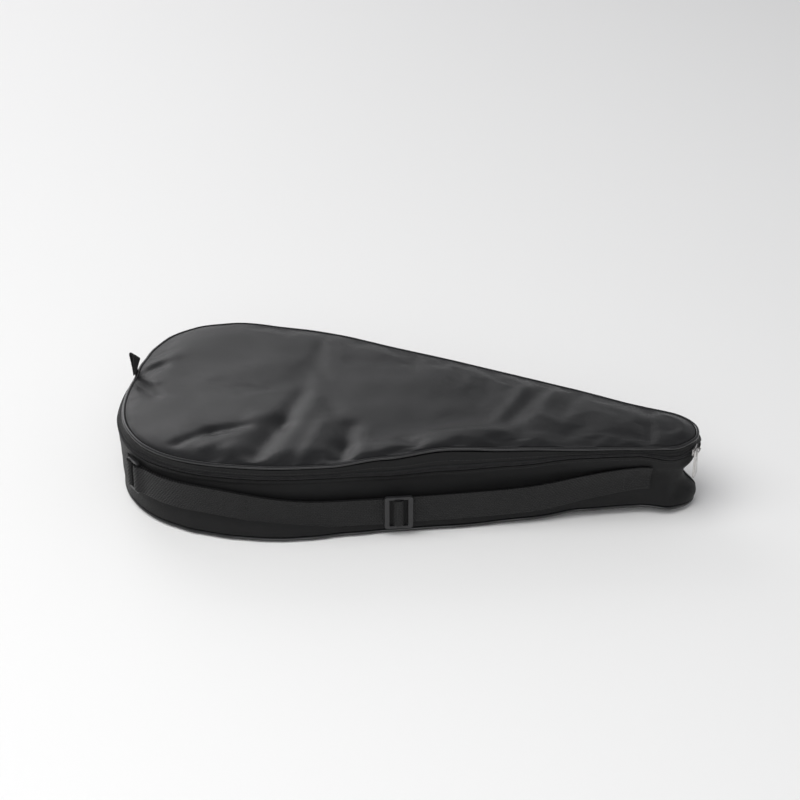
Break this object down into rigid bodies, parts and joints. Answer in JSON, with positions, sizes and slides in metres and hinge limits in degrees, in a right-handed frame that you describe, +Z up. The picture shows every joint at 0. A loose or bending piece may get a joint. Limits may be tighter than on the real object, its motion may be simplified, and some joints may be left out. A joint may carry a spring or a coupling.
{
  "type": "paddle case",
  "caption": "Soft teardrop racket case lying flat, with a crowned front cover, piped edges, a side zip, and a webbing strap with ring and tri-glide.",
  "frame": {"origin": "on the resting plane, under the middle of the whole box", "axes": "+X from the head apex to the narrow end, -Y to the zip and strap side, +Z up"},
  "size_m": [0.5144, 0.2515, 0.0861],
  "materials": {
    "coated_nylon": "smooth coated nylon with a satin sheen",
    "woven_nylon": "matte woven nylon",
    "foam": "open cell foam",
    "lining": "thin woven lining",
    "piping": "glossy vinyl piping",
    "zip_tape": "matte woven tape",
    "zip_coil": "satin nylon coil",
    "webbing": "ribbed polypropylene webbing",
    "black_plastic": "moulded acetal",
    "nickel": "satin nickel plate"
  },
  "bodies": {
    "case_body": {"back_panel": "woven_nylon", "back_padding": "foam", "back_lining": "lining", "back_piping": "piping", "back_seam_binding": "zip_tape", "lower_gusset": "woven_nylon", "hinge_gusset": "woven_nylon", "wall_padding": "foam", "wall_lining": "lining", "lower_zip_tape": "zip_tape", "lower_zip_coil": "zip_coil", "zip_bottom_stop": "nickel", "zip_top_stop": "nickel", "ring_anchor_loop": "webbing", "strap_main": "webbing", "strap_return": "webbing"},
    "front_cover": {"front_panel": "coated_nylon", "front_padding": "foam", "front_lining": "lining", "front_piping": "piping", "front_seam_binding": "zip_tape", "upper_gusset": "woven_nylon", "upper_zip_tape": "zip_tape", "upper_zip_coil": "zip_coil", "hang_loop": "webbing"},
    "zip_slider": {"slider_body": "nickel", "slider_bridge": "nickel"},
    "pull_tab": {"pull_tab": "nickel"},
    "strap_ring": {"strap_ring": "black_plastic", "strap_ring_fold": "webbing"},
    "tri_glide": {"tri_glide": "black_plastic", "strap_glide_fold": "webbing"}
  },
  "joints": [
    {"name": "cover_hinge", "type": "hinge", "parent": "case_body", "child": "front_cover", "pos_m": [-0.06536, 0.11748, 0.0668], "axis": [-0.9618, 0.2738, 0], "range_deg": [0, 115]},
    {"name": "zip_travel", "type": "hinge", "parent": "case_body", "child": "zip_slider", "pos_m": [0.2215, 0.001, 0.059], "axis": [0, 0, -1], "range_deg": [0, 45]},
    {"name": "pull_tab_swing", "type": "hinge", "parent": "zip_slider", "child": "pull_tab", "pos_m": [0.25532, -0.01094, 0.059], "axis": [0.9703, -0.2419, 0], "range_deg": [-120, 15]},
    {"name": "ring_swing", "type": "hinge", "parent": "case_body", "child": "strap_ring", "pos_m": [-0.22096, -0.09311, 0.0355], "axis": [0, 0, -1], "range_deg": [0, 25]},
    {"name": "glide_slide", "type": "slide", "parent": "case_body", "child": "tri_glide", "axis": [0.9618, 0.2738, 0], "range_m": [-0.04, 0.09]}
  ]
}
